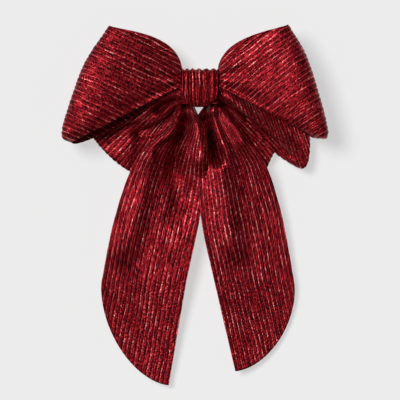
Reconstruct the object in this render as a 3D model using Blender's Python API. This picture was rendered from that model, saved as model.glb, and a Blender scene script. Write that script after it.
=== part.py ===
"""Large ribbon hair bow on a clasp barrette, upright as worn.

The front faces -Y, up is +Z, and the origin is at the middle of the clasp's flat back.
"""

import math

import bmesh
import bpy
from mathutils import Matrix, Vector

# Driving sizes, in metres
BOW_WIDTH = 0.1993
RIBBON_WIDTH = 0.088
LOOP_DEPTH = 0.088
TAIL_DROP = 0.2235
KNOT_WIDTH = 0.0265
KNOT_HEIGHT = 0.0293
CLOTH = 0.0012
BARRETTE_LENGTH = 0.080
BARRETTE_WIDTH = 0.008
CLASP_DEPTH = 0.0098
SHEET_METAL = 0.0008
FIT_GAP = 0.0003
PIN_GAP = 0.0001

# Depths, stacked forwards from the clasp's back at y = 0
FELT_DEPTH = 0.0010
GATHER_PLEAT = 0.0007
BUNDLE_DEPTH = 0.0130
KNOT_PLEAT = 0.0006
BUNDLE_ROOM = 2.5 * FIT_GAP
PLATE_FRONT = -CLASP_DEPTH
PLATE_BACK = PLATE_FRONT + SHEET_METAL
FELT_BACK = PLATE_FRONT - FIT_GAP
FELT_FRONT = FELT_BACK - FELT_DEPTH
GATHER_DEPTH = CLOTH + 2.6 * GATHER_PLEAT
GATHER_CENTRE = FELT_FRONT - FIT_GAP - GATHER_DEPTH / 2
KNOT_BACK = GATHER_CENTRE - GATHER_DEPTH / 2 - FIT_GAP
BUNDLE_BACK = KNOT_BACK - 1.5 * CLOTH - BUNDLE_ROOM
BUNDLE_FRONT = BUNDLE_BACK - BUNDLE_DEPTH
KNOT_FRONT = BUNDLE_FRONT - BUNDLE_ROOM - CLOTH - 2.4 * KNOT_PLEAT

HALF_WIDTH = BOW_WIDTH / 2
KNOT_HALF = KNOT_WIDTH / 2
KNOT_TOP = 0.46 * KNOT_HEIGHT
KNOT_BOTTOM = KNOT_TOP - KNOT_HEIGHT


def clear_scene():
    for old in list(bpy.data.objects):
        bpy.data.objects.remove(old, do_unlink=True)


def material(name, colour, roughness, metallic):
    made = bpy.data.materials.new(name)
    made.use_nodes = True
    shader = made.node_tree.nodes["Principled BSDF"]
    shader.inputs["Base Color"].default_value = (*colour, 1.0)
    shader.inputs["Roughness"].default_value = roughness
    shader.inputs["Metallic"].default_value = metallic
    return made


def finish(name, shape, look, smooth):
    """Turns a finished bmesh into the named object with its one material."""
    mesh = bpy.data.meshes.new(name)
    shape.to_mesh(mesh)
    shape.free()
    made = bpy.data.objects.new(name, mesh)
    bpy.context.scene.collection.objects.link(made)
    mesh.materials.append(look)
    for face in mesh.polygons:
        face.use_smooth = smooth
    return made


def turn_about(made, axis_point):
    """Puts a moving piece's origin on its joint's axis and leaves its shape in place."""
    made.data.transform(Matrix.Translation(-axis_point))
    made.location = axis_point


def mix(first, second, share):
    return first + (second - first) * share


def through(points, share):
    """A smooth curve through evenly shared points, numbers or vectors."""
    place = min(max(share, 0.0), 1.0) * (len(points) - 1)
    index = min(int(place), len(points) - 2)
    step = place - index
    here, there = points[index], points[index + 1]
    before = points[index - 1] if index > 0 else here * 2 - there
    after = points[index + 2] if index + 2 < len(points) else there * 2 - here
    leaving = (there - before) * 0.5
    arriving = (after - here) * 0.5
    cube = here * (2 * step**3 - 3 * step**2 + 1) + there * (3 * step**2 - 2 * step**3)
    return cube + leaving * (step**3 - 2 * step**2 + step) + arriving * (step**3 - step**2)


def outline(shares, width, height):
    """Points of the front view, given as shares of a width and a height."""
    return [Vector((across * width, up * height)) for across, up in shares]


# Cloth sheets
SEAM_MERGE = 0.00001


def cloth(name, look, along, across, place):
    """A sheet of cloth: a flat grid, moved point by point to place(share along, share across)."""
    shape = bmesh.new()
    bmesh.ops.create_grid(shape, x_segments=along, y_segments=across, size=0.5)
    for vertex in shape.verts:
        vertex.co = place(vertex.co.x + 0.5, vertex.co.y + 0.5)
    bmesh.ops.remove_doubles(shape, verts=shape.verts, dist=SEAM_MERGE)
    bmesh.ops.recalc_face_normals(shape, faces=shape.faces)
    made = finish(name, shape, look, True)
    thick = made.modifiers.new("cloth thickness", "SOLIDIFY")
    thick.thickness = CLOTH
    thick.offset = 0.0
    return made


# Bow rings: each is one band that runs out and back through two loops and twice through the knot
LOOP_STEPS = 18
WAIST_STEPS = 4
RING_STEPS = 2 * (LOOP_STEPS + WAIST_STEPS)
RING_ACROSS = 11
WAIST_PLEATS = 2.5
WAIST_PLEAT = 0.09 * BUNDLE_DEPTH
WAIST_PINCH = 0.0024
WAIST_MARGIN = 2.5 * CLOTH
WAIST_SPLIT = -0.0003
WAIST_GAP = 0.0022


class Loop:
    """One loop of a ring: its fold edge from top to bottom, and how its layers arch and swell."""

    def __init__(self, fold, rise, sag, hang, swell, fold_depth, waves):
        self.fold = outline(fold, HALF_WIDTH, RIBBON_WIDTH)
        self.rise = [share * RIBBON_WIDTH for share in rise]
        self.sag = [share * RIBBON_WIDTH for share in sag]
        self.hang = hang * RIBBON_WIDTH
        self.swell = [share * LOOP_DEPTH for share in swell]
        self.fold_depth = [BUNDLE_BACK + share * LOOP_DEPTH for share in fold_depth]
        self.waves = [share * LOOP_DEPTH for share in waves]


class Waist:
    """Where a ring passes through the knot: its upper and lower edge and the middles of its two layers."""

    def __init__(self, top, bottom):
        self.top = top
        self.bottom = bottom
        self.half_layer = WAIST_PLEAT + 0.7 * CLOTH
        self.front = BUNDLE_FRONT + self.half_layer
        self.back = BUNDLE_BACK - self.half_layer


FRONT_WAIST = Waist(KNOT_TOP - WAIST_MARGIN, WAIST_SPLIT + WAIST_GAP / 2)
REAR_WAIST = Waist(WAIST_SPLIT - WAIST_GAP / 2, KNOT_BOTTOM + WAIST_MARGIN)

# Shares of half the bow's width and of the ribbon's width, with the front layer before the back one
FRONT_LEFT = Loop(
    fold=(
        (-0.679, 0.515),
        (-0.858, 0.206),
        (-0.958, -0.085),
        (-1.035, -0.412),
    ),
    rise=(0.070, 0.125),
    sag=(0.066, 0.010),
    hang=0.070,
    swell=(0.20, 0.01),
    fold_depth=(-0.13, -0.11, -0.10, -0.09),
    waves=(0.0, 0.0),
)
FRONT_RIGHT = Loop(
    fold=(
        (0.660, 0.524),
        (0.790, 0.272),
        (0.886, -0.050),
        (0.958, -0.415),
    ),
    rise=(0.070, 0.125),
    sag=(0.050, 0.130),
    hang=0.030,
    swell=(0.20, 0.01),
    fold_depth=(-0.13, -0.11, -0.10, -0.09),
    waves=(0.0, 0.0),
)
REAR_LEFT = Loop(
    fold=(
        (-0.845, -0.260),
        (-0.805, -0.420),
        (-0.700, -0.565),
        (-0.560, -0.695),
        (-0.400, -0.780),
    ),
    rise=(-0.015, -0.015),
    sag=(0.090, -0.004),
    hang=0.0,
    swell=(0.000, 0.085),
    fold_depth=(0.09, 0.10, 0.11, 0.12, 0.13),
    waves=(0.030, -0.012, 0.012, -0.010, 0.030, 0.050),
)
REAR_RIGHT = Loop(
    fold=(
        (0.790, -0.250),
        (0.825, -0.480),
        (0.780, -0.690),
        (0.600, -0.590),
        (0.565, -0.545),
        (0.500, -0.690),
    ),
    rise=(0.075, 0.060),
    sag=(0.090, -0.004),
    hang=0.0,
    swell=(0.000, 0.085),
    fold_depth=(0.09, 0.09, 0.08, 0.12, 0.11, 0.12),
    waves=(0.020, 0.000, -0.010, 0.075, 0.010, 0.030),
)


def waist_point(waist, across, side, layer):
    """A point where the band passes the knot: side runs from -1 at the left to 1 at the right."""
    pinch = max(0.0, 1.0 - 2.0 * abs(side)) * WAIST_PINCH
    height = mix(waist.top - pinch, waist.bottom + pinch, across)
    depth = mix(waist.front + pinch, waist.back - pinch, layer)
    depth += WAIST_PLEAT * math.cos(2 * math.pi * WAIST_PLEATS * across)
    return Vector((side * KNOT_HALF, depth, height))


def loop_point(loop, waist, turn, across):
    """A point of a loop: turn runs from 0 at the front of the waist, by the fold, to 1 at its back."""
    angle = math.pi * turn
    out = math.sin(angle)
    layer = (1.0 - math.cos(angle)) / 2
    edge = through(loop.fold, across)
    start = waist_point(waist, across, math.copysign(1.0, edge.x), layer)
    hump = 4.0 * (math.sqrt(out) - out)
    side = mix(start.x, edge.x, out)
    height = mix(start.z, edge.y, out) + hump * mix(mix(*loop.rise, layer), mix(*loop.sag, layer), across)
    height -= loop.hang * across * 2.0 * max(0.0, -math.cos(angle)) * out
    depth = mix(start.y, through(loop.fold_depth, across), out**0.7)
    fullness = 1.0 - 0.35 * (2.0 * across - 1.0) ** 2
    depth -= 2.0 * mix(*loop.swell, layer) * fullness * math.cos(angle) * out
    depth += through(loop.waves, across) * (1.0 - layer) * 4.0 * out * (1.0 - out * 0.8)
    return Vector((side, depth, height))


def ring(name, look, waist, left, right):
    """One closed band: out through the right loop, behind the waist, through the left loop and back."""

    def place(along, across):
        step = along * RING_STEPS
        if step <= LOOP_STEPS:
            return loop_point(right, waist, step / LOOP_STEPS, across)
        step -= LOOP_STEPS
        if step <= WAIST_STEPS:
            return waist_point(waist, across, 1.0 - 2.0 * step / WAIST_STEPS, 1.0)
        step -= WAIST_STEPS
        if step <= LOOP_STEPS:
            return loop_point(left, waist, 1.0 - step / LOOP_STEPS, across)
        step -= LOOP_STEPS
        return waist_point(waist, across, -1.0 + 2.0 * step / WAIST_STEPS, 0.0)

    cloth(name, look, RING_STEPS, RING_ACROSS, place)


# Tails: two strips that hang from the gather behind the knot, each with a rounded slanting end
TAIL_STEPS = 20
TAIL_ACROSS = 11
TAIL_TOP = KNOT_BOTTOM - 3.0 * FIT_GAP
TAIL_AXIS = Vector((0.0, KNOT_BACK, TAIL_TOP + FIT_GAP))
SHOULDER = -0.649
END_ROUNDNESS = 1.6
TAIL_DEPTHS = (0.0, -0.0080, -0.0105, -0.0090, -0.0050, -0.0010, 0.0030)


class Tail:
    """One tail: its top under the knot, its edges down to the shoulder, its tip and its folds.

    The top is in shares of the knot's width. The edges are in shares of half the bow's width across, and
    down they are in shares of the ribbon's width beside the loops and of the tails' drop below them.
    """

    def __init__(self, top, outer_neck, outer_fall, inner_neck, inner_fall, tip, behind, folds):
        self.outer = [Vector((top[0] * KNOT_WIDTH, TAIL_TOP))]
        self.outer += outline(outer_neck, HALF_WIDTH, RIBBON_WIDTH) + outline(outer_fall, HALF_WIDTH, TAIL_DROP)
        self.inner = [Vector((top[1] * KNOT_WIDTH, TAIL_TOP))]
        self.inner += outline(inner_neck, HALF_WIDTH, RIBBON_WIDTH) + outline(inner_fall, HALF_WIDTH, TAIL_DROP)
        self.tip = outline([tip], HALF_WIDTH, TAIL_DROP)[0]
        self.behind = behind
        self.folds = folds


LEFT_TAIL = Tail(
    top=(-0.47, -0.04),
    outer_neck=((-0.225, -0.3454), (-0.415, -0.5207), (-0.522, -0.7162)),
    outer_fall=((-0.645, -0.447), (-0.738, SHOULDER)),
    inner_neck=((0.030, -0.3632), (0.044, -0.5918), (0.044, -0.8178)),
    inner_fall=((-0.010, -0.461), (-0.102, SHOULDER)),
    tip=(-0.236, -1.0),
    behind=0.0,
    folds=(0.0015, -0.0040, -0.0010, 0.0025, -0.0020, -0.0035, 0.0020),
)
RIGHT_TAIL = Tail(
    top=(0.47, 0.04),
    outer_neck=((0.245, -0.3302), (0.405, -0.5207), (0.508, -0.6984)),
    outer_fall=((0.620, -0.440), (0.706, SHOULDER)),
    inner_neck=((0.050, -0.3632), (0.030, -0.5918), (0.010, -0.8178)),
    inner_fall=((0.018, -0.470), (0.106, SHOULDER)),
    tip=(0.266, -0.953),
    behind=0.0022,
    folds=(0.0005, -0.0015, -0.0010, -0.0030, -0.0030, 0.0055, 0.0030),
)


def tail(name, look, shape):
    shoulder_length = abs(SHOULDER) * TAIL_DROP
    fall = shape.tip - shape.inner[-1]

    def place(along, across):
        side = (1.0 - math.cos(math.pi * across)) / 2
        drop = (1.0 - (1.0 - side) ** END_ROUNDNESS) ** (1.0 / END_ROUNDNESS)
        reach = along * (1.0 + fall.length * drop / shoulder_length)
        held = min(reach, 1.0)
        flat = mix(through(shape.outer, held), through(shape.inner, held), side)
        flat += fall.normalized() * (reach - held) * shoulder_length
        depth = GATHER_CENTRE + through(TAIL_DEPTHS, reach / 1.5) + shape.behind * min(1.0, 5.0 * held)
        ease = max(0.0, 1.0 - held / 0.85)
        depth += through(shape.folds, side) * 3.0 * ease * ease * math.sqrt(held)
        depth += GATHER_PLEAT * math.cos(6 * math.pi * side) * max(0.0, 1.0 - 6.0 * held)
        return Vector((flat.x, depth, flat.y))

    turn_about(cloth(name, look, TAIL_STEPS, TAIL_ACROSS, place), TAIL_AXIS)


def tail_gather(look):
    """The pleated top ends of both tails, sewn flat behind the knot."""
    top = 0.32 * KNOT_HEIGHT
    bottom = KNOT_BOTTOM - 0.5 * FIT_GAP

    def place(along, across):
        depth = GATHER_CENTRE + GATHER_PLEAT * math.cos(12 * math.pi * across)
        return Vector(((across - 0.5) * 0.94 * KNOT_WIDTH, depth, mix(top, bottom, along)))

    cloth("tail_gather", look, 2, 36, place)


# Knot band: wrapped round both waists, drawn into upright pleats at the front
KNOT_AROUND = 24
KNOT_ACROSS = 24
KNOT_PLEATS = 6


def knot_band(look):
    middle = (KNOT_FRONT + KNOT_BACK) / 2
    half_depth = (KNOT_BACK - KNOT_FRONT - CLOTH) / 2
    centre = (KNOT_TOP + KNOT_BOTTOM) / 2
    half_height = (KNOT_HEIGHT - CLOTH) / 2
    squareness = 0.5

    def place(along, across):
        angle = 2 * math.pi * along
        facing = math.cos(angle)
        lifting = math.sin(angle)
        front = max(0.0, facing)
        crown = 1.0 - 0.06 * front * (2.0 * across - 1.0) ** 4
        depth = middle - half_depth * crown * math.copysign(abs(facing) ** squareness, facing)
        depth -= KNOT_PLEAT * front * math.cos(2 * math.pi * KNOT_PLEATS * across)
        height = centre + half_height * math.copysign(abs(lifting) ** squareness, lifting)
        taper = 1.0 - 0.22 * max(0.0, -lifting) ** 3
        return Vector(((across - 0.5) * KNOT_WIDTH * taper, depth, height))

    cloth("knot_band", look, KNOT_AROUND, KNOT_ACROSS, place)


# Threads: round cords with closed ends
THREAD = 0.0007
THREAD_SIDES = 8


def tube(name, look, path, radius):
    shape = bmesh.new()
    rings = []
    heading = Vector((0.0, 0.0, 1.0))
    turn = heading.rotation_difference(heading)
    for index, point in enumerate(path):
        ahead = path[min(index + 1, len(path) - 1)] - path[max(index - 1, 0)]
        turn = heading.rotation_difference(ahead) @ turn
        heading = ahead
        made = bmesh.ops.create_circle(shape, segments=THREAD_SIDES, radius=radius)
        for vertex in made["verts"]:
            vertex.co = turn @ vertex.co + point
        rings.append(made["verts"])
    for first, second in zip(rings, rings[1:]):
        for index in range(THREAD_SIDES):
            after = (index + 1) % THREAD_SIDES
            shape.faces.new((first[index], first[after], second[after], second[index]))
    shape.faces.new(rings[0])
    shape.faces.new(rings[-1])
    bmesh.ops.recalc_face_normals(shape, faces=shape.faces)
    finish(name, shape, look, True)


def gathering_thread(name, look, waist):
    """Three turns of thread round the pinched middle of a ring."""
    turns = 3
    steps = 16
    pitch = 1.6 * THREAD
    squareness = 0.45
    pinched = 0.5 * WAIST_PINCH
    away = THREAD / 2 + FIT_GAP
    top = waist.top - pinched + away
    bottom = waist.bottom + pinched - away
    front = waist.front + pinched - waist.half_layer - away
    back = waist.back - pinched + waist.half_layer + away
    path = []
    for index in range(turns * steps + 1):
        angle = 2 * math.pi * index / steps
        depth = math.copysign(abs(math.cos(angle)) ** squareness, math.cos(angle))
        height = math.copysign(abs(math.sin(angle)) ** squareness, math.sin(angle))
        side = (index / steps - turns / 2) * pitch
        path.append(Vector((side, mix(front, back, 0.5 + depth / 2), mix(bottom, top, 0.5 + height / 2))))
    tube(name, look, path, THREAD / 2)


# Solids drawn out from a flat outline
def rounded(centre, length, width, corner, steps):
    """A rectangle with round corners, in the order of its edge."""
    points = []
    for quarter in range(4):
        middle_x = centre + (length / 2 - corner) * (1 if quarter in (0, 3) else -1)
        middle_up = (width / 2 - corner) * (1 if quarter in (0, 1) else -1)
        for step in range(steps + 1):
            angle = math.pi / 2 * (quarter + step / steps)
            points.append((middle_x + corner * math.cos(angle), middle_up + corner * math.sin(angle)))
    return points


def circle(centre_x, centre_up, radius, steps):
    turns = [2 * math.pi * step / steps for step in range(steps)]
    return [(centre_x + radius * math.cos(turn), centre_up + radius * math.sin(turn)) for turn in turns]


def drawn_out(name, look, points, lower, upper, axis):
    """An outline in the plane of the other two axes, in X, Y, Z order, drawn out along one axis."""
    shape = bmesh.new()
    corners = []
    for first, second in points:
        place = [first, second]
        place.insert("XYZ".index(axis), lower)
        corners.append(shape.verts.new(place))
    face = shape.faces.new(corners)
    grown = bmesh.ops.extrude_face_region(shape, geom=[face])
    moved = [part for part in grown["geom"] if isinstance(part, bmesh.types.BMVert)]
    rise = Vector((0.0, 0.0, 0.0))
    rise["XYZ".index(axis)] = upper - lower
    bmesh.ops.translate(shape, verts=moved, vec=rise)
    bmesh.ops.recalc_face_normals(shape, faces=shape.faces)
    return finish(name, shape, look, False)


def combine(made, other, operation):
    """Cuts or fuses a hidden second solid, which stays as a live modifier."""
    other.hide_render = True
    other.display_type = "WIRE"
    step = made.modifiers.new(other.name, "BOOLEAN")
    step.operation = operation
    step.solver = "EXACT"
    step.object = other


def pierce(made, look, centre, radius, steps):
    """A round hole through an object along Y, at a place along the barrette."""
    name = "%s_hole_%d" % (made.name, len(made.modifiers))
    hole = drawn_out(name, look, circle(centre, 0.0, radius, steps), 2 * PLATE_FRONT, -PLATE_FRONT, "Y")
    combine(made, hole, "DIFFERENCE")


# Barrette: a plate with a hinged arm, a bowed strip between them and a sprung catch
PIN_RADIUS = 0.0006
CURL_INNER = PIN_RADIUS + PIN_GAP
CURL_OUTER = CURL_INNER + SHEET_METAL
HINGE_X = -BARRETTE_LENGTH / 2 + 0.0025
HINGE_Y = -CURL_OUTER
EAR_ROOM = 0.0003
ARM_WIDTH = BARRETTE_WIDTH - 2 * (SHEET_METAL + EAR_ROOM)
ARM_END = BARRETTE_LENGTH / 2 + SHEET_METAL
CATCH_X = BARRETTE_LENGTH / 2 - 0.0035
CATCH_METAL = 0.0006
CATCH_LENGTH = 0.0044
CATCH_RIVET_X = CATCH_X - 0.0046
CATCH_BACK = PLATE_BACK + PIN_GAP + CATCH_METAL
TONGUE_Z = 0.0009
TONGUE_PIVOT = CATCH_BACK + 2 * FIT_GAP
RIVET = 0.0009
RIVET_HEAD = 0.0016
RIVET_RISE = 0.0006
STRIP_METAL = 0.0004
STRIP_RIVET_X = HINGE_X + 0.0065
STRIP_FLAT = 0.0028
STRIP_BOW = 0.0016
STITCH_X = 0.30 * KNOT_WIDTH
STITCH_SPAN = 0.0032
STITCH_HOLE = THREAD / 2 + FIT_GAP


def stitch_ends(side):
    return (side * STITCH_X - STITCH_SPAN / 2, side * STITCH_X + STITCH_SPAN / 2)


def hinge_ear(look, name, low, high):
    """A lug with a round top that carries one end of the hinge pin."""
    half = CURL_OUTER + EAR_ROOM
    foot = (PLATE_FRONT + PLATE_BACK) / 2
    points = [(HINGE_X - half, foot), (HINGE_X + half, foot)]
    steps = 10
    for step in range(steps + 1):
        angle = math.pi * step / steps
        points.append((HINGE_X + half * math.cos(angle), HINGE_Y - EAR_ROOM + CURL_OUTER * math.sin(angle)))
    return drawn_out(name, look, points, low, high, "Z")


def barrette_plate(look):
    shape = rounded(0.0, BARRETTE_LENGTH, BARRETTE_WIDTH, 0.25 * BARRETTE_WIDTH, 4)
    plate = drawn_out("barrette_plate", look, shape, PLATE_FRONT, PLATE_BACK, "Y")
    outer = BARRETTE_WIDTH / 2
    inner = outer - SHEET_METAL
    combine(plate, hinge_ear(look, "upper_ear", inner, outer), "UNION")
    combine(plate, hinge_ear(look, "lower_ear", -outer, -inner), "UNION")
    bore = circle(HINGE_X, HINGE_Y, CURL_INNER, 24)
    combine(plate, drawn_out("ear_bore", look, bore, -2 * outer, 2 * outer, "Z"), "DIFFERENCE")
    for side in (-1, 1):
        for end in stitch_ends(side):
            pierce(plate, look, end, STITCH_HOLE, 12)
    for rivet in (STRIP_RIVET_X, CATCH_RIVET_X):
        pierce(plate, look, rivet, RIVET + PIN_GAP, 16)


def hinge_pin(look):
    reach = BARRETTE_WIDTH / 2 + FIT_GAP
    drawn_out("hinge_pin", look, circle(HINGE_X, HINGE_Y, PIN_RADIUS, 24), -reach, reach, "Z")


def clasp_arm(look):
    """The bar over the hair: curled round the pin at one end, with a window for the catch at the other."""
    steps = 18
    sweep = 1.5 * math.pi
    turns = [math.pi / 2 + sweep * step / steps for step in range(steps + 1)]
    points = [(ARM_END, 0.0)]
    for radius, order in ((CURL_OUTER, turns), (CURL_INNER, turns[::-1])):
        points += [(HINGE_X + radius * math.cos(turn), HINGE_Y + radius * math.sin(turn)) for turn in order]
    points.append((ARM_END, -SHEET_METAL))
    arm = drawn_out("clasp_arm", look, points, -ARM_WIDTH / 2, ARM_WIDTH / 2, "Z")
    window_height = 2 * (TONGUE_Z + CATCH_METAL + FIT_GAP)
    window = rounded(CATCH_X, CATCH_LENGTH + 3 * FIT_GAP, window_height, FIT_GAP, 2)
    combine(arm, drawn_out("arm_window", look, window, -2 * SHEET_METAL, SHEET_METAL, "Y"), "DIFFERENCE")
    turn_about(arm, Vector((HINGE_X, HINGE_Y, 0.0)))


def tension_strip(look):
    """A thin bowed strip, riveted at the hinge end and free at the catch end."""
    seat = PLATE_BACK + PIN_GAP
    start = STRIP_RIVET_X + STRIP_FLAT
    free_end = CATCH_RIVET_X - RIVET_HEAD - STRIP_FLAT
    steps = 16
    shares = [step / steps for step in range(steps + 1)]
    line = [(STRIP_RIVET_X - STRIP_FLAT, seat)]
    for share in shares:
        line.append((mix(start, free_end, share), seat + STRIP_BOW * math.sin(math.pi * share) ** 2))
    back = [(along, depth + STRIP_METAL) for along, depth in line[::-1]]
    half = 0.4 * BARRETTE_WIDTH
    strip = drawn_out("tension_strip", look, line + back, -half, half, "Z")
    pierce(strip, look, STRIP_RIVET_X, RIVET + PIN_GAP, 16)


def rivet(name, look, centre, held_back):
    """A two-headed rivet through the plate and what it holds, turned about Y."""
    front = PLATE_FRONT - PIN_GAP
    back = held_back + PIN_GAP
    inside = RIVET_RISE / 2
    shank = drawn_out(name, look, circle(centre, 0.0, RIVET, 16), front - inside, back + inside, "Y")
    head = circle(centre, 0.0, RIVET_HEAD, 16)
    combine(shank, drawn_out(name + "_front_head", look, head, front - RIVET_RISE, front, "Y"), "UNION")
    combine(shank, drawn_out(name + "_back_head", look, head, back, back + RIVET_RISE, "Y"), "UNION")


def catch_base(look):
    left = CATCH_RIVET_X - RIVET_HEAD - FIT_GAP
    right = CATCH_X + CATCH_LENGTH / 2
    shape = rounded((left + right) / 2, right - left, 0.6 * BARRETTE_WIDTH, 0.1 * BARRETTE_WIDTH, 3)
    base = drawn_out("catch_base", look, shape, PLATE_BACK + PIN_GAP, CATCH_BACK, "Y")
    pierce(base, look, CATCH_RIVET_X, RIVET + PIN_GAP, 16)


def catch_tongue(name, look, side):
    """A sprung leg that stands in the arm's window, with a tab at the side for a finger."""
    inner = side * TONGUE_Z
    outer = side * (TONGUE_Z + CATCH_METAL)
    tab = side * (BARRETTE_WIDTH / 2 + CATCH_METAL)
    foot = CATCH_BACK + FIT_GAP
    top = -FIT_GAP
    tab_front = (foot + top) / 2
    tab_back = tab_front + CATCH_METAL
    points = [(foot, inner), (foot, outer), (tab_front, outer), (tab_front, tab)]
    points += [(tab_back, tab), (tab_back, outer), (top, outer), (top, inner)]
    low = CATCH_X - CATCH_LENGTH / 2
    tongue = drawn_out(name, look, points, low, low + CATCH_LENGTH, "X")
    turn_about(tongue, Vector((CATCH_X, TONGUE_PIVOT, (inner + outer) / 2)))


# Felt pad and the stitches that hold the plate to it
def felt_pad(look):
    shape = rounded(0.0, 0.92 * KNOT_WIDTH, 0.6 * KNOT_HEIGHT, 0.1 * KNOT_HEIGHT, 4)
    pad = drawn_out("felt_pad", look, shape, FELT_FRONT, FELT_BACK, "Y")
    for side in (-1, 1):
        for end in stitch_ends(side):
            pierce(pad, look, end, STITCH_HOLE, 12)


def stitch(name, look, side):
    """A staple of thread: down one pair of holes, across the plate's back and up the next pair."""
    first, last = stitch_ends(side)
    deep = FELT_FRONT + PIN_GAP
    over = PLATE_BACK + THREAD / 2 + FIT_GAP
    bend = 0.6 * THREAD
    path = [(first, deep), (first, over - bend), (first + bend, over)]
    path += [(last - bend, over), (last, over - bend), (last, deep)]
    tube(name, look, [Vector((along, depth, 0.0)) for along, depth in path], THREAD / 2)


clear_scene()
ribbed_cloth = material("ribbed_metallic_cloth", (0.235, 0.010, 0.018), 0.45, 0.35)
red_thread = material("red_thread", (0.160, 0.010, 0.016), 0.70, 0.0)
felt = material("felt", (0.120, 0.008, 0.012), 0.95, 0.0)
plated_steel = material("plated_steel", (0.620, 0.610, 0.590), 0.28, 1.0)
spring_steel = material("spring_steel", (0.520, 0.520, 0.530), 0.35, 1.0)

ring("front_bow_ring", ribbed_cloth, FRONT_WAIST, FRONT_LEFT, FRONT_RIGHT)
ring("rear_bow_ring", ribbed_cloth, REAR_WAIST, REAR_LEFT, REAR_RIGHT)
knot_band(ribbed_cloth)
tail("left_tail", ribbed_cloth, LEFT_TAIL)
tail("right_tail", ribbed_cloth, RIGHT_TAIL)
tail_gather(ribbed_cloth)
gathering_thread("front_gathering_thread", red_thread, FRONT_WAIST)
gathering_thread("rear_gathering_thread", red_thread, REAR_WAIST)
felt_pad(felt)
stitch("left_stitch", red_thread, -1)
stitch("right_stitch", red_thread, 1)
barrette_plate(plated_steel)
hinge_pin(plated_steel)
clasp_arm(plated_steel)
tension_strip(spring_steel)
rivet("strip_rivet", plated_steel, STRIP_RIVET_X, PLATE_BACK + PIN_GAP + STRIP_METAL)
catch_base(spring_steel)
catch_tongue("upper_catch_tongue", spring_steel, 1)
catch_tongue("lower_catch_tongue", spring_steel, -1)
rivet("catch_rivet", plated_steel, CATCH_RIVET_X, CATCH_BACK)
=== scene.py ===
import math

import bmesh
import bpy
import numpy as np
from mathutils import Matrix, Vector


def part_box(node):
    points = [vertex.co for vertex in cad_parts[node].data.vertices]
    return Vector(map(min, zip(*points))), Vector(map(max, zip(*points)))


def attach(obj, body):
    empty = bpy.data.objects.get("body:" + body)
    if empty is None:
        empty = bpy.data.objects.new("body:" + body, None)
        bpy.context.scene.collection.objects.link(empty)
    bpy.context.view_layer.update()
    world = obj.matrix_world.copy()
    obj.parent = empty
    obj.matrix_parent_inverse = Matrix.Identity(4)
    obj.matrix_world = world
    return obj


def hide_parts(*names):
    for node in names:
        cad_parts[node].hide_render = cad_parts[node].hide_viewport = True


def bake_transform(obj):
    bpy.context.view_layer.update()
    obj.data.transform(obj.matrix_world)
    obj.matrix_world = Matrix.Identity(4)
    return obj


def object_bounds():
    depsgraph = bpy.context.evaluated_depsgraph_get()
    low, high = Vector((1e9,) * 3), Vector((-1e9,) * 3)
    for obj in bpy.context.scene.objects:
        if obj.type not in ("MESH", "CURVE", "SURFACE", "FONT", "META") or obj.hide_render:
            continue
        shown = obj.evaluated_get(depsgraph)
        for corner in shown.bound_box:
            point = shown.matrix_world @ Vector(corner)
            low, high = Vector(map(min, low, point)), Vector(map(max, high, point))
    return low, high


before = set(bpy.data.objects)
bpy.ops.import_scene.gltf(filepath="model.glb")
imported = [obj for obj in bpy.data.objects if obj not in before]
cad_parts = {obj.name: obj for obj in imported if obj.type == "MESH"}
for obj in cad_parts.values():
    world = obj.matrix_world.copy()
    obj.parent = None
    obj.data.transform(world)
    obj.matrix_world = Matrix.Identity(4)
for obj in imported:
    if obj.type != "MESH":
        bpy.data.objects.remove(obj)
cad_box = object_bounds()


# Barrette
# A stock hair clip pressed from thin steel sheet: a plate with two ears, a hinge pin, the arm that closes
# over the hair, a bowed tension strip and a sprung catch held by rivets. Its cut edges are tumbled round,
# then it is nickel plated; the strip and the catch are bare spring steel.
def linear(colour):
    """A six-digit sRGB hex colour as linear red, green and blue with full alpha."""
    shares = [int(colour[place : place + 2], 16) / 255 for place in (0, 2, 4)]
    light = [share / 12.92 if share <= 0.04045 else ((share + 0.055) / 1.055) ** 2.4 for share in shares]
    return light + [1.0]


def node(tree, kind, inputs, **settings):
    """Adds one node: settings are its own properties, inputs are numbers or the sockets that feed it."""
    made = tree.nodes.new(kind)
    for name, value in settings.items():
        setattr(made, name, value)
    for name, value in inputs.items():
        if isinstance(value, bpy.types.NodeSocket):
            tree.links.new(value, made.inputs[name])
        else:
            made.inputs[name].default_value = value
    return made


def new_material(name):
    """A new node material, with its node tree and its shader."""
    made = bpy.data.materials.new(name)
    made.use_nodes = True
    return made, made.node_tree, made.node_tree.nodes["Principled BSDF"]


ROLLING_LINE = 0.00025
ROLLING_LENGTH = 0.012
ROLLING_DEPTH = 0.00005
RUB_SIZE = 0.004


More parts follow.
